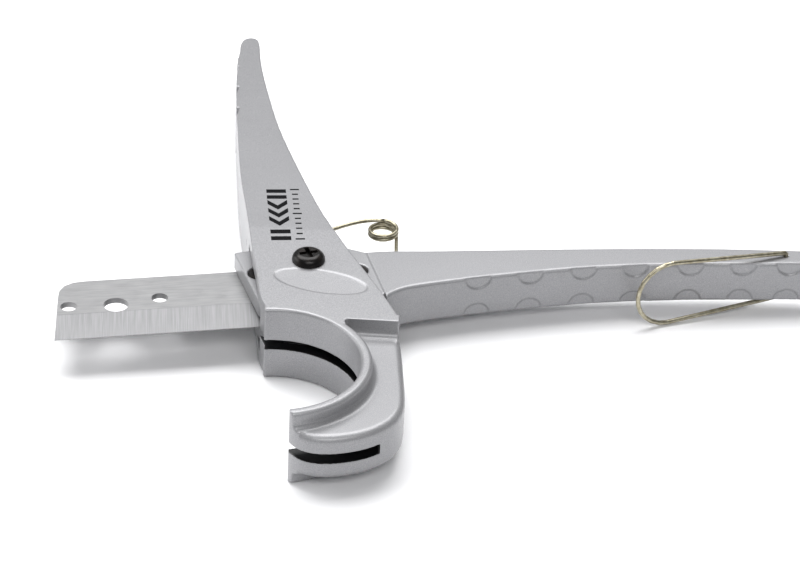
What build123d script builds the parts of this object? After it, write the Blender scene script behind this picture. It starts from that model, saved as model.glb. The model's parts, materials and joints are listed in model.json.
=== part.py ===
from build123d import *
import math
import os

# Scissor-type hose and pipe cutter, drawn fully open.
# Millimetres. Z is the pivot axis. Shapes are drawn about the blade's mid-plane and
# lifted by CHEEK_LOW, so the flat lower face of the jaw handle lies at Z = 0.

# jaw handle
CHEEK_TOP = 10.5           # outer faces of the two cheeks, from the blade's mid-plane
CHEEK_LOW = 9.8
FORK_HALF = 6.2            # inner faces of the two cheeks
FORK_DISC_R = 20.8         # round room for the slotted head as it turns
TIP_HALF = 5.8             # half thickness at the far end of the jaw handle
TAPER_START_Y = 15.0
TIP_Y = 130.0
WEB_HALF = 6.0             # recessed web of the hook
JAW_C = (-5.6, -44.8)      # centre of the round jaw
JAW_R = 21.0
RIM_W = 2.7                # raised rim around the jaw
STEP_END_R = 1.3           # rounded end of the step beside the rim
RIM_TOP_R = 1.1
RIM_FOOT_R = 1.6
SLOT_HALF = 1.3            # slot that takes the blade
SLOT_END_X = 20.8          # closed end of that slot inside the hook's rounded corner
# pivot
SLEEVE_R = 3.1
SLEEVE_BORE_R = 3.15
SLEEVE_FLANGE_R = 5.2
SLEEVE_FLANGE_T = 2.0
PIN_R = 2.0
PIVOT_HEAD_R = 4.2
PIVOT_HEAD_T = 2.3
PIVOT_HEAD_ROUND = 1.9     # domed edge of the pan head
WASHER_R = 6.5
# blade handle
HEAD_HALF = 5.4            # half thickness of the slotted head
BODY_HALF = 5.75           # half thickness of the grip
HEAD_SLOT_HALF = 0.8
EDGE_R = 0.9
DIMPLE_R = 3.6
DIMPLE_DEPTH = 0.4
# blade
BLADE_ANGLE = 192.66       # direction from the pivot to the blade's free end, degrees
BLADE_HALF = 0.75
BLADE_SPAN = 48.94         # distance between the two large holes
SCREW_A = (-13.0, 1.9)     # small holes about the pivot, along and across the blade
SCREW_B = (12.0, 3.4)
FREE_HOLE_A = (60.74, 0.52) # small holes in the blade's free half
FREE_HOLE_B = (37.63, 1.93)
SMALL_HOLE_R = 2.1
# wire parts
SPRING_C = (18.3, 33.2)
SPRING_R = 3.6
SPRING_WIRE_R = 0.52
SPRING_PITCH = 1.09
SPRING_TURNS = 2.25
LATCH_PIVOT = (124.1, 22.8)
LATCH_WIRE_R = 0.6
LATCH_HOLE_R = 0.67
LATCH_LEN = 42.0           # pivot to the outside of the bend
LATCH_BEND_R = 9.1


def plate(points, low, high):
    """Prism on a closed polygon between two heights."""
    face = make_face(Polyline(*points, close=True))
    return extrude(Pos(0, 0, low) * face, high - low)


def rod(x, y, radius, low, high):
    """Upright cylinder between two heights."""
    return Pos(x, y, (low + high) / 2) * Cylinder(radius, high - low)


def on_blade(u, v):
    """Blade coordinates (along, across) turned into plan coordinates."""
    a = math.radians(BLADE_ANGLE)
    return (u * math.cos(a) + v * math.sin(a), u * math.sin(a) - v * math.cos(a))


def dimples(points, half):
    """Shallow half-round reliefs on both long edges of a grip's outer side."""
    cutters = []
    for x, y, angle in points:
        for side in (-1, 1):
            place = Pos(x, y, side * half) * Rot(0, 0, angle) * Rot(0, 90, 0)
            cutters.append(place * Cylinder(DIMPLE_R, 2 * DIMPLE_DEPTH))
    return cutters


# ---------------------------------------------------------------- jaw handle
jaw_left = [(-9.4, -22.0), (-10.4, -19.5), (-12.4, -8.0), (-14.1, 1.0), (-15.9, 12.0),
            (-18.2, 27.0), (-20.2, 39.0), (-22.0, 53.0), (-23.4, 66.0), (-24.8, 79.0),
            (-26.0, 92.0), (-27.0, 106.0), (-27.5, 118.0), (-27.3, 126.0)]
jaw_right = [(-21.3, 121.0), (-19.9, 110.0), (-17.5, 96.6), (-14.9, 83.6),
             (-12.1, 71.4), (-8.5, 58.5), (-5.0, 46.8), (-1.7, 36.3), (1.5, 26.6),
             (4.8, 18.0), (9.2, 7.8), (14.5, -3.3), (19.7, -14.5), (23.9, -24.5)]
jaw_tip = [(-26.5, 129.1), (-24.9, 130.3), (-23.1, 129.8), (-22.2, 127.9)]
outline = [Spline(*jaw_left, *jaw_tip, *jaw_right),
           Polyline((23.9, -24.5), (23.9, -26.0), (-9.4, -26.0), (-9.4, -22.0))]
casting = extrude(Pos(0, 0, -CHEEK_LOW) * make_face(outline), CHEEK_LOW + CHEEK_TOP)

# the grip thins evenly towards its far end
side = Plane.YZ * make_face(Polyline(
    (-90, -CHEEK_LOW), (TAPER_START_Y, -CHEEK_LOW), (TIP_Y, -TIP_HALF), (140, -TIP_HALF),
    (140, TIP_HALF), (TIP_Y, TIP_HALF), (TAPER_START_Y, CHEEK_TOP), (-90, CHEEK_TOP),
    close=True))
casting = casting & Pos(-60, 0, 0) * extrude(side, 120, dir=(1, 0, 0))

# hook: web, raised rim and bevelled shoulder
hook_outer = [(23.9, -24.5), (24.9, -32.0), (25.7, -42.0), (26.3, -51.0), (26.0, -56.5),
              (24.4, -61.0), (21.5, -64.6), (17.8, -67.4), (13.0, -69.5), (8.0, -70.5),
              (3.6, -69.9), (1.4, -68.6), (0.2, -67.4), (-0.5, -66.4)]
hook_face = make_face([Spline(*hook_outer), Polyline(
    (-0.5, -66.4), (-0.5, -44.8), (0.0, -24.5), (23.9, -24.5))])
web = extrude(Pos(0, 0, -WEB_HALF) * hook_face, 2 * WEB_HALF)
web = fillet(web.edges().filter_by(
    lambda e: abs(abs(e.center().Z) - WEB_HALF) < 0.01 and e.length > 60), 1.8)
jaw_bore = rod(*JAW_C, JAW_R, -20, 20)


def half_rim(top):
    """Ring with a rounded outer shoulder and a hollow fillet down to the web."""
    outer = JAW_R + RIM_W
    foot = outer + RIM_FOOT_R
    bend = math.sqrt(0.5)
    profile = [
        Polyline((foot, 0), (JAW_R - 2, 0), (JAW_R - 2, top), (outer - RIM_TOP_R, top)),
        ThreePointArc((outer - RIM_TOP_R, top),
                      (outer - RIM_TOP_R * (1 - bend), top - RIM_TOP_R * (1 - bend)),
                      (outer, top - RIM_TOP_R)),
        Line((outer, top - RIM_TOP_R), (outer, WEB_HALF + RIM_FOOT_R)),
        ThreePointArc((outer, WEB_HALF + RIM_FOOT_R),
                      (foot - RIM_FOOT_R * bend, WEB_HALF + RIM_FOOT_R * (1 - bend)),
                      (foot, WEB_HALF)),
        Line((foot, WEB_HALF), (foot, 0))]
    return revolve(Plane.XZ * make_face(profile), Axis.Z)


rim = Pos(*JAW_C, 0) * (half_rim(CHEEK_TOP) + mirror(half_rim(CHEEK_LOW), about=Plane.XY))
rim = rim & extrude(Pos(0, 0, -CHEEK_LOW) * hook_face, CHEEK_LOW + CHEEK_TOP)
half_step = [(-23, 0), (-23, CHEEK_TOP), (-25.9, CHEEK_TOP), (-26.3, WEB_HALF + 2.0),
             (-26.7, WEB_HALF + 0.9), (-27.3, WEB_HALF + 0.3), (-28.4, WEB_HALF), (-28.4, 0)]
low_step = [(y, -z if z < CHEEK_TOP else -CHEEK_LOW) for y, z in half_step]
shoulder = Part()
for profile in (half_step, low_step):
    face = Plane.YZ * make_face(Polyline(*profile, close=True))
    shoulder = shoulder + Pos(4.0, 0, 0) * extrude(face, 19.95, dir=(1, 0, 0))
# round end of the step, where it runs into the rim
corner = plate([(4.0, -24.0), (11.9, -24.0), (11.9, -27.1), (11.06, -27.95), (4.0, -29.0)],
               -CHEEK_LOW, CHEEK_TOP)
corner = corner - rod(11.9, -27.1, STEP_END_R, -20, 20)
casting = casting + web + shoulder + corner + rim - jaw_bore
jaw_edges = casting.edges().filter_by(
    lambda e: e.geom_type == GeomType.CIRCLE and abs(e.radius - JAW_R) < 0.01
    and abs(e.center().Z) > WEB_HALF + 1)
casting = fillet(jaw_edges, 0.8)

# blade slot: all that the blade sweeps, plus the slot seen outside the hook
slot_plan = [(-40.0, 8.0), (-40.0, -80.0), (SLOT_END_X, -80.0), (SLOT_END_X, -60.0),
             (17.2, -30.0), (15.6, -12.0), (14.0, 4.0)]
casting = casting - plate(slot_plan, -SLOT_HALF, SLOT_HALF)

# fork: round room for the head, open channel for the other grip
channel = [(9.0, -16.0), (30.0, -19.0), (40.0, 10.0), (12.0, 48.0), (-9.5, 73.5), (-15.5, 73.5),
           (-18.5, 58.0), (-16.4, 36.0), (-14.2, 20.0), (-12.5, 10.0), (-5.0, 0.0)]
fork = rod(0, 0, FORK_DISC_R, -FORK_HALF, FORK_HALF) + plate(channel, -FORK_HALF, FORK_HALF)
casting = casting - fork
casting = casting - rod(0, 0, SLEEVE_BORE_R, -30, 30)
casting = casting - rod(0, 0, SLEEVE_FLANGE_R + 0.1, -CHEEK_LOW - 1, -CHEEK_LOW + SLEEVE_FLANGE_T)
oval = Pos(3.6, -9.5, CHEEK_TOP - 0.25) * Rot(1.6, 0, -11.8) * extrude(Ellipse(12.1, 5.2), 2)
casting = casting - oval

# hole in the channel wall for the spring's far leg
leg_hole = Pos(-15.6, 21.6, 1.6) * Rot(0, 90, 0) * Cylinder(0.75, 3.4)
casting = casting - leg_hole
jaw_marks = [(-24.9, 80.0, 5.3), (-26.1, 93.5, 4.6), (-27.1, 107.0, 3.4), (-27.55, 120.0, 0.5)]
for cutter in dimples([(x - 0.1, y, 180 - a) for x, y, a in jaw_marks], 6.9):
    casting = casting - cutter
jaw_handle = casting

# -------------------------------------------------------------- blade handle
head_plan = [(-19.7, 9.8), (-15.9, 11.2), (9.0, 15.3), (14.4, 13.5), (18.5, 13.5), (20.0, -5.0),
             (18.0, -8.6), (-10.2, -14.2), (-11.6, -12.6)]
head = plate(head_plan, -HEAD_HALF, HEAD_HALF)
head = fillet(head.edges().filter_by(Axis.Z), 0.6)
body_back = [(14.3, 13.4), (20.4, 14.7), (28.2, 15.6), (38.6, 16.9), (49.0, 18.3), (64.8, 20.4),
             (75.3, 21.7), (85.8, 22.9), (96.4, 24.0), (107.0, 25.0), (117.6, 25.7), (129.0, 26.3)]
body_front = [(130.4, 19.4), (120.0, 18.3), (111.6, 17.4), (101.1, 16.3), (90.6, 14.8),
              (80.2, 13.1), (69.7, 10.9), (59.3, 8.2), (49.0, 5.3), (38.8, 2.1), (28.6, -1.5),
              (24.6, -3.4), (22.6, -5.0), (20.4, -7.6)]
outline = [Spline(*body_back), ThreePointArc((129.0, 26.3), (132.6, 23.0), (130.4, 19.4)),
           Spline(*body_front), Line((20.4, -7.6), (14.3, 13.4))]
body = extrude(Pos(0, 0, -BODY_HALF) * make_face(outline), 2 * BODY_HALF)
body = fillet(body.edges().filter_by(
    lambda e: abs(abs(e.center().Z) - BODY_HALF) < 0.01 and e.center().X > 19), EDGE_R)
blade_handle = head + body

slot_end = [on_blade(-17.6, -20), on_blade(-15.6, 18), on_blade(60, 18), on_blade(60, -20)]
blade_handle = blade_handle - plate(slot_end, -HEAD_SLOT_HALF, HEAD_SLOT_HALF)
blade_handle = blade_handle - rod(0, 0, SLEEVE_BORE_R, -20, 20)
for hole in (SCREW_A, SCREW_B):
    x, y = on_blade(*hole)
    blade_handle = blade_handle - rod(x, y, SMALL_HOLE_R, -4.0, HEAD_HALF + 1)
    blade_handle = blade_handle - rod(x, y, 2.95, HEAD_HALF - 2.4, HEAD_HALF + 1)
blade_handle = blade_handle - rod(*LATCH_PIVOT, LATCH_HOLE_R, -20, 20)
blade_handle = blade_handle - Pos(22.25, 13.0, -1.2) * Rot(90, 0, 0) * Cylinder(0.75, 8.0)
# pocket in the inner side, where the spring's coil goes as the grips close
pocket = [(19.8, 13.2), (28.5, 8.6), (40.0, 8.4), (42.0, 11.0), (42.0, 22.0), (19.8, 22.0)]
blade_handle = blade_handle - plate(pocket, -2.5, 2.3)
# groove beside the pocket, which clears the spring's upper leg in the closed position
groove = [(15.8, 22.0), (16.6, 16.5), (18.0, 13.0), (20.0, 9.9), (22.4, 7.6), (25.4, 6.5),
          (29.4, 6.5), (33.0, 8.0), (33.0, 22.0)]
blade_handle = blade_handle - plate(groove, 0.5, 2.3)
handle_marks = [(43.6, 3.65, -72.5), (57.1, 7.55, -74.5), (70.9, 11.15, -76.5),
                (84.4, 13.85, -79.5), (98.9, 16.0, -82.5), (112.7, 17.5, -84.5),
                (125.0, 18.85, -85.0)]
for cutter in dimples(handle_marks, BODY_HALF):
    blade_handle = blade_handle - cutter

# --------------------------------------------------------------------- blade
blade_plan = [on_blade(u, v) for u, v in (
    (55.5, 11.9), (58.6, 11.6), (61.0, 10.3), (62.5, 8.0), (63.0, 5.6), (65.4, -13.2),
    (BLADE_SPAN - 65.4, -13.2), (BLADE_SPAN - 63.0, 5.6), (BLADE_SPAN - 62.5, 8.0),
    (BLADE_SPAN - 61.0, 10.3), (BLADE_SPAN - 58.6, 11.6), (BLADE_SPAN - 55.5, 11.9))]
blade = plate(blade_plan, -BLADE_HALF, BLADE_HALF)
for face in (-1, 1):
    grind = make_face(Polyline(
        (-16, 0.07 * face), (-13.3, 0.07 * face), (-3.2, BLADE_HALF * face), (-3.2, 2 * face),
        (-16, 2 * face), close=True))
    wedge = extrude(Plane.YZ * grind, 180, dir=(1, 0, 0))
    blade = blade - Rot(0, 0, BLADE_ANGLE - 180) * Pos(-90, 0, 0) * wedge
for u, v, r in ((0, 0, SLEEVE_BORE_R), (BLADE_SPAN, 0, SLEEVE_BORE_R), (*SCREW_A, SMALL_HOLE_R),
                (*SCREW_B, SMALL_HOLE_R), (*FREE_HOLE_A, SMALL_HOLE_R),
                (*FREE_HOLE_B, SMALL_HOLE_R)):
    blade = blade - rod(*on_blade(u, v), r, -3, 3)

# ----------------------------------------------------------- pivot and screws
sleeve = rod(0, 0, SLEEVE_R, -CHEEK_LOW + SLEEVE_FLANGE_T / 2, CHEEK_TOP - 0.15)
sleeve = sleeve + rod(0, 0, SLEEVE_FLANGE_R, -CHEEK_LOW + 0.1, -CHEEK_LOW + SLEEVE_FLANGE_T)
sleeve = sleeve - rod(0, 0, PIN_R + 0.03, -CHEEK_LOW + 3.4, 20)
pivot_screw = rod(0, 0, PIN_R, -CHEEK_LOW + 4.0, CHEEK_TOP + 0.5)
pan = rod(0, 0, PIVOT_HEAD_R, CHEEK_TOP, CHEEK_TOP + PIVOT_HEAD_T)
pan = fillet(pan.edges().group_by(Axis.Z)[-1], PIVOT_HEAD_ROUND)
pivot_screw = pivot_screw + pan
for turn in (20, 110):
    cross = Pos(0, 0, CHEEK_TOP + PIVOT_HEAD_T) * Rot(0, 0, turn) * Box(4.8, 1.2, 2.8)
    pivot_screw = pivot_screw - cross


def washer(low, high):
    """Flat ring around the pivot sleeve."""
    return rod(0, 0, WASHER_R, low, high) - rod(0, 0, SLEEVE_BORE_R, -20, 20)


washer_upper = washer(HEAD_HALF + 0.04, FORK_HALF)
washer_lower = washer(-FORK_HALF, -HEAD_HALF - 0.04)


def blade_screw(hole):
    """Low-head screw sunk in the upper plate of the head."""
    x, y = on_blade(*hole)
    screw = rod(x, y, SMALL_HOLE_R - 0.05, -3.9, HEAD_HALF - 2.0)
    screw = screw + rod(x, y, 2.8, HEAD_HALF - 2.4, HEAD_HALF - 0.3)
    screw = screw - Pos(x, y, HEAD_HALF - 0.8) * extrude(RegularPolygon(1.45, 6), 3)
    return screw


screw_inner = blade_screw(SCREW_A)
screw_outer = blade_screw(SCREW_B)

# -------------------------------------------------------------- return spring
coil = Pos(*SPRING_C, -1.2) * Helix(SPRING_PITCH, SPRING_TURNS * SPRING_PITCH, SPRING_R)
leg_b = Spline((22.25, 10.8, -1.2), (22.1, 24.0, -1.2), tuple(coil @ 0),
               tangents=[(0, 1, 0), tuple(coil % 0)])
leg_a = Spline(tuple(coil @ 1), (4.8, 30.2, 1.6), (-11.0, 22.0, 1.6), (-16.2, 21.6, 1.6),
               tangents=[tuple(coil % 1), (-1, 0, 0)])
spring = sweep(Plane(leg_b @ 0, z_dir=leg_b % 0) * Circle(SPRING_WIRE_R),
               path=leg_b + coil + leg_a)


# ---------------------------------------------------------------- latch bail
def wire_along(points, radius):
    """Round wire through a list of points, with a ball at each bend."""
    shape = Pos(*points[0]) * Sphere(radius)
    for a, b in zip(points[:-1], points[1:]):
        run = Line(a, b)
        shape = shape + sweep(Plane(run @ 0, z_dir=run % 0) * Circle(radius), path=run)
        shape = shape + Pos(*b) * Sphere(radius)
    return shape


aim = math.atan2(7.2 - LATCH_PIVOT[1], 85.1 - LATCH_PIVOT[0])


def along(distance, height):
    """Point on the bail's plane at a distance from its pivot."""
    return (LATCH_PIVOT[0] + distance * math.cos(aim), LATCH_PIVOT[1] + distance * math.sin(aim),
            height)


bend_at = LATCH_LEN - LATCH_BEND_R
leg_z = BODY_HALF + LATCH_WIRE_R + 0.35
turns = [along(bend_at + LATCH_BEND_R * math.cos(math.radians(t)),
               LATCH_BEND_R * math.sin(math.radians(t))) for t in range(90, -91, -15)]
bail_points = [along(0, 2.4), along(0, leg_z - 0.4), along(0.5, leg_z)] + turns
bail_points += [along(0.5, -leg_z), along(0, -leg_z + 0.4), along(0, -2.4)]
latch = wire_along(bail_points, LATCH_WIRE_R)

# --------------------------------------------------------------------- export
os.makedirs("parts", exist_ok=True)
nodes = {
    "jaw_handle": jaw_handle,
    "blade_handle": blade_handle,
    "blade": blade,
    "pivot_screw": pivot_screw,
    "pivot_sleeve_nut": sleeve,
    "thrust_washer_upper": washer_upper,
    "thrust_washer_lower": washer_lower,
    "blade_screw_inner": screw_inner,
    "blade_screw_outer": screw_outer,
    "return_spring": spring,
    "latch_bail": latch,
}
for name, shape in nodes.items():
    export_step(Pos(0, 0, CHEEK_LOW) * shape, "parts/" + name + ".step")
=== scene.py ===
import json
import math

import bmesh
import bpy
import numpy as np
from mathutils import Matrix, Vector


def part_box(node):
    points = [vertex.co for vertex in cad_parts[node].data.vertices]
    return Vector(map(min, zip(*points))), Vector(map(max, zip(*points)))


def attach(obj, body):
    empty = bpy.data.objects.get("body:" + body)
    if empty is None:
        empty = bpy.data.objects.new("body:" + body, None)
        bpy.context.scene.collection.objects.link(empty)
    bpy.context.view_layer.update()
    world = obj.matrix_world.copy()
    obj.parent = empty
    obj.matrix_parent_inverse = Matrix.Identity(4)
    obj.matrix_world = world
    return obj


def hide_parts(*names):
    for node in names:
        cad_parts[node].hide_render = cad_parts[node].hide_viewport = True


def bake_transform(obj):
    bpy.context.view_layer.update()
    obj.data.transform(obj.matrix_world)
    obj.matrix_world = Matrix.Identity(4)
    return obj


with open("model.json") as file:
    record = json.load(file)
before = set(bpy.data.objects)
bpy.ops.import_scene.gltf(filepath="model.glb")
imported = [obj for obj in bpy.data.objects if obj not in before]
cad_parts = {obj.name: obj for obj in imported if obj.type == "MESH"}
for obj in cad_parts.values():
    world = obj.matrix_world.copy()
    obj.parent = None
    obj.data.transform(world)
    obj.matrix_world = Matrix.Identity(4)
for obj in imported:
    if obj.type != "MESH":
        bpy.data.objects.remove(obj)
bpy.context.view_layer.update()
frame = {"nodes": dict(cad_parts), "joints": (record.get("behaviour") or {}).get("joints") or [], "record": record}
record = frame["record"]
MM = 0.001

# Driving sizes, in millimetres; the mid-plane and cheek top are read from the frame
pivot = [j for j in frame["joints"] if j["name"] == "handle_pivot"][0]["pos_m"]
MID_Z = pivot[2] / MM                        # height of the blade's mid-plane
CHEEK_TOP_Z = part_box("jaw_handle")[1].z / MM
BLADE_SLOPE = math.radians(12.66)             # of the blade's edges in plan
GRIND_SLOPE = math.radians(6.3)               # of the wheel's lines
GRIND_V = -3.0                               # start of the ground zone, across the blade
TAPER_START_Y = 15.0
SLOT_HALF = 1.3                              # blade slot in the hook
SLOT_START_Y = -18.0
SLOT_END_X = 21.0
TIP_Y = 130.0
TIP_TOP_Z = MID_Z + 5.8


# ------------------------------------------------------------------ materials
class Nodes:
    """Small helper that builds a node material."""

    def __init__(self, name):
        self.mat = bpy.data.materials.new(name)
        self.mat.use_nodes = True
        self.tree = self.mat.node_tree
        self.bsdf = self.tree.nodes["Principled BSDF"]
        self.coords = self.add("ShaderNodeTexCoord").outputs["Object"]

    def add(self, kind, **values):
        node = self.tree.nodes.new(kind)
        for key, value in values.items():
            if hasattr(node, key):
                setattr(node, key, value)
            else:
                node.inputs[key.replace("_", " ")].default_value = value
        return node

    def link(self, a, b):
        self.tree.links.new(a, b)

    def noise(self, vector, scale, detail=3.0, roughness=0.55):
        node = self.add("ShaderNodeTexNoise")
        node.inputs["Scale"].default_value = scale
        node.inputs["Detail"].default_value = detail
        node.inputs["Roughness"].default_value = roughness
        self.link(vector, node.inputs["Vector"])
        return node.outputs["Fac"]

    def math(self, operation, a, b):
        node = self.add("ShaderNodeMath", operation=operation)
        for value, socket in ((a, node.inputs[0]), (b, node.inputs[1])):
            if isinstance(value, (int, float)):
                socket.default_value = value
            else:
                self.link(value, socket)
        return node.outputs["Value"]

    def product(self, a, b):
        return self.math("MULTIPLY", a, b)

    def below(self, value, limit):
        return self.math("LESS_THAN", value, limit)

    def within(self, value, middle, half):
        offset = self.math("ABSOLUTE", self.math("SUBTRACT", value, middle), 0.0)
        return self.below(offset, half)

    def ramp(self, fac, stops):
        node = self.add("ShaderNodeValToRGB")
        ramp = node.color_ramp
        while len(ramp.elements) < len(stops):
            ramp.elements.new(0.5)
        for element, (place, value) in zip(ramp.elements, stops):
            element.position = place
            element.color = (*value, 1) if isinstance(value, tuple) else (value, value, value, 1)
        self.link(fac, node.inputs["Fac"])
        return node.outputs["Color"]

    def mix(self, fac, a, b, blend="MIX"):
        node = self.add("ShaderNodeMix", data_type="RGBA", blend_type=blend)
        for socket, value in ((node.inputs[0], fac), (node.inputs[6], a), (node.inputs[7], b)):
            if hasattr(value, "is_output"):
                self.link(value, socket)
            else:
                socket.default_value = value if isinstance(value, float) else (*value, 1)
        return node.outputs[2]

    def scaled(self, value, factor, plus=0.0):
        node = self.add("ShaderNodeMath", operation="MULTIPLY_ADD")
        self.link(value, node.inputs[0])
        node.inputs[1].default_value = factor
        node.inputs[2].default_value = plus
        return node.outputs[0]

    def bump(self, height, strength, distance):
        node = self.add("ShaderNodeBump")
        node.inputs["Strength"].default_value = strength
        node.inputs["Distance"].default_value = distance
        self.link(height, node.inputs["Height"])
        self.link(node.outputs["Normal"], self.bsdf.inputs["Normal"])

    def set(self, **values):
        for key, value in values.items():
            socket = self.bsdf.inputs[key.replace("_", " ")]
            if hasattr(value, "is_output"):
                self.link(value, socket)
            else:
                socket.default_value = (*value, 1) if isinstance(value, tuple) else value


def silver_paint(name, shaded_slot_half=0.0):
    """Fine metallic paint on a die casting: flakes, soft orange peel, slight clouding.

    The second argument is the half width, in millimetres, of painted shade: a near-black band at the mid-plane of
    the hook that stands in for the shadow within the blade slot."""
    n = Nodes(name)
    flakes = n.noise(n.coords, 5200.0, 1.0)
    clouds = n.noise(n.coords, 45.0, 2.0)
    colour = n.ramp(flakes, [(0.30, (0.240, 0.240, 0.250)), (0.50, (0.290, 0.290, 0.300)),
                             (0.72, (0.365, 0.365, 0.377))])
    colour = n.mix(n.scaled(clouds, 0.25), colour, (0.27, 0.27, 0.28))
    peel = n.noise(n.coords, 1100.0, 2.0)
    n.set(Metallic=0.4, Roughness=n.scaled(clouds, 0.1, 0.40))
    n.set(Coat_Weight=0.35, Coat_Roughness=0.16)
    # Painted shade: the blade slot is coloured near-black in place of the shadow it lies in.
    if shaded_slot_half:
        split = n.add("ShaderNodeSeparateXYZ")
        n.link(n.coords, split.inputs[0])
        painted_slot_shade = n.within(split.outputs["Z"], MID_Z * MM, (shaded_slot_half + 0.08) * MM)
        painted_slot_shade = n.product(painted_slot_shade, n.below(split.outputs["Y"], SLOT_START_Y * MM))
        painted_slot_shade = n.product(painted_slot_shade, n.below(split.outputs["X"], SLOT_END_X * MM))
        colour = n.mix(painted_slot_shade, colour, (0.006, 0.006, 0.007))
    n.set(Base_Color=colour)
    n.bump(peel, 0.10, 0.00006)
    return n.mat


def blade_steel():
    """Rolled, satin steel; below the grind line, bright with lines straight across the blade."""
    n = Nodes("blade_steel")
    turned = n.add("ShaderNodeVectorRotate", rotation_type="Z_AXIS")
    turned.inputs["Angle"].default_value = -BLADE_SLOPE
    n.link(n.coords, turned.inputs["Vector"])
    split = n.add("ShaderNodeSeparateXYZ")
    n.link(turned.outputs["Vector"], split.inputs[0])
    zone = n.add("ShaderNodeMapRange")
    zone.inputs["From Min"].default_value = (GRIND_V + 0.25) * MM
    zone.inputs["From Max"].default_value = (GRIND_V - 0.25) * MM
    n.link(split.outputs["Y"], zone.inputs["Value"])

    wheel = n.add("ShaderNodeVectorRotate", rotation_type="Z_AXIS")
    wheel.inputs["Angle"].default_value = -GRIND_SLOPE
    n.link(n.coords, wheel.inputs["Vector"])

    def lines(source, scale):
        stretch = n.add("ShaderNodeMapping")
        stretch.inputs["Scale"].default_value = scale
        n.link(source.outputs["Vector"], stretch.inputs["Vector"])
        return n.noise(stretch.outputs["Vector"], 1.0, 2.0)

    rolled = lines(turned, (160.0, 1500.0, 400.0))
    mottle = n.noise(n.coords, 420.0, 4.0)
    ground = lines(wheel, (3600.0, 60.0, 400.0))
    bands = lines(wheel, (260.0, 35.0, 100.0))
    plain = n.ramp(rolled, [(0.3, (0.25, 0.25, 0.255)), (0.7, (0.32, 0.32, 0.325))])
    plain = n.mix(n.scaled(mottle, 0.6), plain, (0.33, 0.33, 0.33))
    bright = n.ramp(ground, [(0.35, (0.19, 0.19, 0.195)), (0.65, (0.265, 0.265, 0.27))])
    bright = n.mix(n.scaled(bands, 0.5), bright, (0.20, 0.20, 0.205))
    height = n.mix(zone.outputs["Result"], rolled, ground)
    n.set(Base_Color=n.mix(zone.outputs["Result"], plain, bright), Metallic=0.6,
          Roughness=n.scaled(mottle, 0.16, 0.32))
    n.bump(height, 0.06, 0.00003)
    return n.mat


def black_oxide():
    n = Nodes("black_oxide")
    grain = n.noise(n.coords, 2200.0, 3.0)
    wear = n.noise(n.coords, 500.0, 4.0)
    colour = n.ramp(wear, [(0.45, (0.007, 0.006, 0.006)), (0.75, (0.026, 0.020, 0.017))])
    n.set(Base_Color=colour, Metallic=0.55, Roughness=n.scaled(grain, 0.2, 0.22))
    n.bump(grain, 0.2, 0.00003)
    return n.mat


def zinc_wire():
    n = Nodes("zinc_wire")
    streaks = n.noise(n.coords, 900.0, 3.0)
    colour = n.ramp(streaks, [(0.35, (0.30, 0.27, 0.19)), (0.7, (0.47, 0.44, 0.34))])
    n.set(Base_Color=colour, Metallic=0.95, Roughness=n.scaled(streaks, 0.15, 0.24))
    n.bump(streaks, 0.1, 0.00002)
    return n.mat


def turned_steel():
    n = Nodes("turned_steel")
    rings = n.add("ShaderNodeTexWave", wave_type="RINGS", rings_direction="Z")
    rings.inputs["Scale"].default_value = 2400.0
    rings.inputs["Distortion"].default_value = 1.5
    n.link(n.coords, rings.inputs["Vector"])
    colour = n.ramp(rings.outputs["Fac"], [(0.2, 0.36), (0.8, 0.55)])
    n.set(Base_Color=colour, Metallic=0.95, Roughness=0.32)
    n.bump(rings.outputs["Fac"], 0.15, 0.00003)
    return n.mat


def washer_plastic():
    n = Nodes("washer_plastic")
    grain = n.noise(n.coords, 1500.0, 3.0)
    colour = n.ramp(grain, [(0.3, (0.62, 0.60, 0.54)), (0.7, (0.72, 0.70, 0.64))])
    n.set(Base_Color=colour, Roughness=n.scaled(grain, 0.15, 0.5))
    n.bump(grain, 0.2, 0.00003)
    return n.mat


def print_ink():
    n = Nodes("print_ink")
    grain = n.noise(n.coords, 2600.0, 2.0)
    colour = n.ramp(grain, [(0.3, (0.004, 0.004, 0.005)), (0.7, (0.010, 0.010, 0.011))])
    n.set(Base_Color=colour, Specular_IOR_Level=0.04, Roughness=n.scaled(grain, 0.2, 0.6))
    n.bump(grain, 0.2, 0.00002)
    return n.mat


PAINT = silver_paint("silver_paint")
# Jaw paint with painted shade in the blade slot.
JAW_PAINT_SLOT_SHADE = silver_paint("silver_paint_jaw_slot_shade", SLOT_HALF)
STEEL = blade_steel()
BLACK = black_oxide()
WIRE = zinc_wire()
TURNED = turned_steel()
PLASTIC = washer_plastic()
INK = print_ink()


# --------------------------------------------------------------------- shapes
def new_object(name, mesh, material, body):
    obj = bpy.data.objects.new(name, mesh)
    bpy.context.scene.collection.objects.link(obj)
    if material is not None:
        obj.data.materials.clear()
        obj.data.materials.append(material)
    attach(obj, body)
    return obj


def apply_modifiers(obj):
    graph = bpy.context.evaluated_depsgraph_get()
    mesh = bpy.data.meshes.new_from_object(obj.evaluated_get(graph))
    obj.modifiers.clear()
    obj.data = mesh


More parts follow.
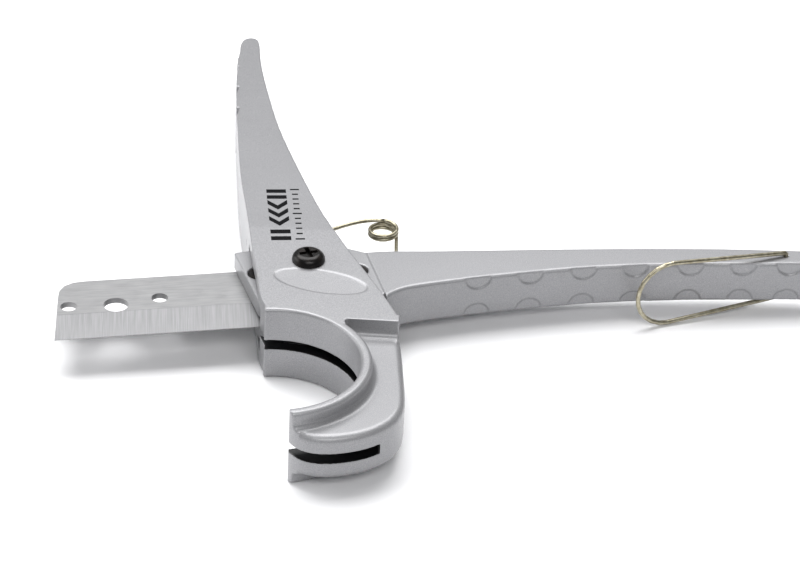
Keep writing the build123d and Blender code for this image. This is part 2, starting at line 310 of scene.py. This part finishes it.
def cast(node, name, body, material, voxel, rounds, keep):
    """A casting: the CAD solid, closed, with every edge softened as a mould and paint leave it."""
    mesh = frame["nodes"][node].data.copy()
    bm = bmesh.new()
    bm.from_mesh(mesh)
    bmesh.ops.remove_doubles(bm, verts=bm.verts, dist=0.002 * MM)
    bm.to_mesh(mesh)
    bm.free()
    obj = new_object(name, mesh, material, body)
    remesh = obj.modifiers.new("remesh", "REMESH")
    remesh.mode = "VOXEL"
    remesh.voxel_size = voxel * MM
    remesh.use_smooth_shade = True
    smooth = obj.modifiers.new("smooth", "SMOOTH")
    smooth.factor = 0.5
    smooth.iterations = rounds
    thin = obj.modifiers.new("thin", "DECIMATE")
    thin.ratio = keep
    apply_modifiers(obj)
    for polygon in obj.data.polygons:
        polygon.use_smooth = True
    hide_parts(node)
    return obj


cast("jaw_handle", "jaw_casting", "jaw", JAW_PAINT_SLOT_SHADE, 0.25, 4, 0.22)
cast("blade_handle", "blade_handle_casting", "cutter", PAINT, 0.25, 4, 0.22)

for node, material in (("blade", STEEL), ("pivot_screw", BLACK), ("blade_screw_inner", BLACK),
                       ("blade_screw_outer", BLACK), ("pivot_sleeve_nut", TURNED),
                       ("thrust_washer_upper", PLASTIC), ("thrust_washer_lower", PLASTIC),
                       ("latch_bail", WIRE)):
    obj = frame["nodes"][node]
    obj.data.materials.clear()
    obj.data.materials.append(material)

# Return spring: a leg in each handle and a coil between them
SPRING_C = Vector((18.3, 33.2, MID_Z - 1.2))
SPRING_R = 3.6
SPRING_WIRE_R = 0.52
SPRING_PITCH = 1.09
SPRING_TURNS = 2.25


def coil_point(turns):
    angle = 2 * math.pi * turns
    return SPRING_C + Vector((SPRING_R * math.cos(angle), SPRING_R * math.sin(angle),
                              SPRING_PITCH * turns))


def coil_direction(turns):
    step = coil_point(turns + 0.001) - coil_point(turns - 0.001)
    return step.normalized()


def smooth_path(points, first, last, steps):
    """Points along a smooth cubic through the given points, with the end directions fixed."""
    points = [np.array(p, float) for p in points]
    spans = [np.linalg.norm(b - a) for a, b in zip(points[:-1], points[1:])]
    count = len(points)
    system = np.eye(count)
    slopes = np.zeros((count, 3))
    slopes[0] = np.array(first)
    slopes[-1] = np.array(last)
    for i in range(1, count - 1):
        before, after = spans[i - 1], spans[i]
        system[i, i - 1:i + 2] = after, 2 * (before + after), before
        slopes[i] = 3 * (after / before * (points[i] - points[i - 1])
                         + before / after * (points[i + 1] - points[i]))
    slopes = np.linalg.solve(system, slopes)
    path = []
    for i, span in enumerate(spans):
        for t in np.linspace(0, 1, steps, endpoint=False):
            path.append((2 * t**3 - 3 * t**2 + 1) * points[i] + (t**3 - 2 * t**2 + t) * span * slopes[i]
                        + (3 * t**2 - 2 * t**3) * points[i + 1] + (t**3 - t**2) * span * slopes[i + 1])
    path.append(points[-1])
    return [Vector(p) for p in path]


def wire(name, path, radius, sides=14):
    """Closed round wire along a path in millimetres."""
    bm = bmesh.new()
    rings = []
    side = None
    for i, point in enumerate(path):
        ahead = (path[min(i + 1, len(path) - 1)] - path[max(i - 1, 0)]).normalized()
        start = Vector((0, 0, 1)) if side is None else side
        side = (start - ahead * start.dot(ahead)).normalized()
        other = ahead.cross(side)
        ring = []
        for k in range(sides):
            angle = 2 * math.pi * k / sides
            offset = (side * math.cos(angle) + other * math.sin(angle)) * radius
            ring.append(bm.verts.new((point + offset) * MM))
        rings.append(ring)
    for a, b in zip(rings[:-1], rings[1:]):
        for k in range(sides):
            j = (k + 1) % sides
            bm.faces.new((a[k], a[j], b[j], b[k]))
    bm.faces.new(rings[0][::-1])
    bm.faces.new(rings[-1])
    bmesh.ops.recalc_face_normals(bm, faces=bm.faces)
    mesh = bpy.data.meshes.new(name)
    bm.to_mesh(mesh)
    bm.free()
    for polygon in mesh.polygons:
        polygon.use_smooth = len(polygon.vertices) == 4
    mesh.materials.append(WIRE)
    obj = bpy.data.objects.new(name, mesh)
    bpy.context.scene.collection.objects.link(obj)
    return obj


def bend(obj):
    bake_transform(obj)
    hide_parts("return_spring")


coil_start = coil_point(0)
coil_end = coil_point(SPRING_TURNS)
cutter_root = Vector((22.25, 10.8, MID_Z - 1.2))
jaw_root = Vector((-16.2, 21.6, MID_Z + 1.6))
jaw_hole = Vector((-11.0, 22.0, MID_Z + 1.6))

coil = wire("spring_coil", [coil_point(SPRING_TURNS * i / 80) for i in range(81)], SPRING_WIRE_R)
bend(coil)
leg = wire("spring_leg_cutter", smooth_path(
    [cutter_root, Vector((22.1, 24.0, MID_Z - 1.2)), coil_start],
    (0, 1, 0), coil_direction(0), 12), SPRING_WIRE_R)
bend(leg)
leg = wire("spring_leg_jaw", smooth_path(
    [coil_end, Vector((4.8, 30.2, MID_Z + 1.6)), jaw_hole, jaw_root],
    coil_direction(SPRING_TURNS), (-1, 0, 0), 14), SPRING_WIRE_R)
bend(leg)

# Printed motif: a bold row of slanted bars and a fine row of ticks, with no letters
def jaw_top(y):
    """Height of the jaw handle's top face, which thins evenly towards the far end."""
    share = max(0.0, (y - TAPER_START_Y) / (TIP_Y - TAPER_START_Y))
    return CHEEK_TOP_Z + share * (TIP_TOP_Z - CHEEK_TOP_Z)


def print_shape(bm, corners):
    """Thin flat mark on the top face, from corners in plan."""
    low = [bm.verts.new((x * MM, y * MM, (jaw_top(y) - 0.10) * MM)) for x, y in corners]
    high = [bm.verts.new((x * MM, y * MM, (jaw_top(y) + 0.03) * MM)) for x, y in corners]
    bm.faces.new(high)
    bm.faces.new(low[::-1])
    for i in range(len(corners)):
        j = (i + 1) % len(corners)
        bm.faces.new((low[i], low[j], high[j], high[i]))


ROW_START = Vector((-7.5, 8.9))
ROW_END = Vector((-10.8, 36.1))
ROW_HALF = 2.6
TICKS_ASIDE = 4.9
row = (ROW_END - ROW_START).normalized()
across = Vector((row.y, -row.x))


def on_row(along, aside):
    point = ROW_START + row * along + across * aside
    return point.x, point.y


def bar(bm, start, length, inner, outer):
    """Straight mark across the row."""
    print_shape(bm, [on_row(start, inner), on_row(start, outer), on_row(start + length, outer),
                     on_row(start + length, inner)])


bm = bmesh.new()
for start in (0.0, 3.3, 21.9, 25.2):
    bar(bm, start, 1.9, -ROW_HALF, ROW_HALF)
for start in (7.2, 11.6, 16.0):
    for side in (-ROW_HALF, ROW_HALF):
        print_shape(bm, [on_row(start, 0), on_row(start + 3.0, side),
                         on_row(start + 5.2, side), on_row(start + 2.2, 0)])
for step in range(11):
    half = 1.2 if step % 5 == 0 else 0.8
    bar(bm, 0.2 + 2.65 * step, 0.65, TICKS_ASIDE - half, TICKS_ASIDE + half)
bmesh.ops.recalc_face_normals(bm, faces=bm.faces)
mesh = bpy.data.meshes.new("printed_motif")
bm.to_mesh(mesh)
bm.free()
new_object("printed_motif", mesh, INK, "jaw")

# ---------------------------------------------------------------------- stage
bpy.ops.mesh.primitive_plane_add(size=6, location=(0, 1.0, -0.0002))
floor = bpy.context.object
floor.name = "floor"
white = bpy.data.materials.new("floor_white")
white.use_nodes = True
white.node_tree.nodes["Principled BSDF"].inputs["Base Color"].default_value = (0.93, 0.93, 0.94, 1)
white.node_tree.nodes["Principled BSDF"].inputs["Roughness"].default_value = 0.6
white.node_tree.nodes["Principled BSDF"].inputs["Specular IOR Level"].default_value = 0.2
floor.data.materials.append(white)

world = bpy.data.worlds.new("studio")
bpy.context.scene.world = world
world.use_nodes = True
world.node_tree.nodes["Background"].inputs["Color"].default_value = (0.97, 0.98, 1.0, 1)
world.node_tree.nodes["Background"].inputs["Strength"].default_value = 0.20


def area_light(name, location, target, size, power):
    data = bpy.data.lights.new(name, "AREA")
    data.shape = "RECTANGLE"
    data.size, data.size_y = size
    data.energy = power
    obj = bpy.data.objects.new(name, data)
    bpy.context.scene.collection.objects.link(obj)
    obj.location = location
    obj.rotation_mode = "QUATERNION"
    obj.rotation_quaternion = (Vector(target) - Vector(location)).to_track_quat("-Z", "Y")
    return obj


area_light("overhead", (-0.12, 0.38, 0.90), (0.0, 0.02, 0.0), (1.1, 0.75), 16.0)
area_light("left", (-0.85, 0.1, 0.30), (0.0, 0.0, 0.0), (0.7, 0.5), 3.0)
area_light("front", (0.15, -0.75, 0.75), (0.0, 0.0, 0.0), (0.7, 0.35), 4.2)

# --------------------------------------------------------------------- camera
PITCH = math.radians(32.32)
ROLL = math.radians(3.18)
DISTANCE = 0.6728
AIM = Vector((pivot[0] + 0.02349, pivot[1] + 0.00883, pivot[2]))
forward = Vector((0, math.cos(PITCH), -math.sin(PITCH)))
level_up = Vector((0, math.sin(PITCH), math.cos(PITCH)))
right = math.cos(ROLL) * Vector((1, 0, 0)) + math.sin(ROLL) * level_up
up = -math.sin(ROLL) * Vector((1, 0, 0)) + math.cos(ROLL) * level_up
camera_data = bpy.data.cameras.new("camera")
camera_data.lens = 117.0
camera_data.sensor_width = 36.0
camera_data.clip_start = 0.01
camera = bpy.data.objects.new("camera", camera_data)
bpy.context.scene.collection.objects.link(camera)
turn = Matrix((right, up, -forward)).transposed().to_4x4()
camera.matrix_world = Matrix.Translation(AIM - DISTANCE * forward) @ turn
bpy.context.scene.camera = camera
bpy.context.scene.view_settings.view_transform = "Standard"
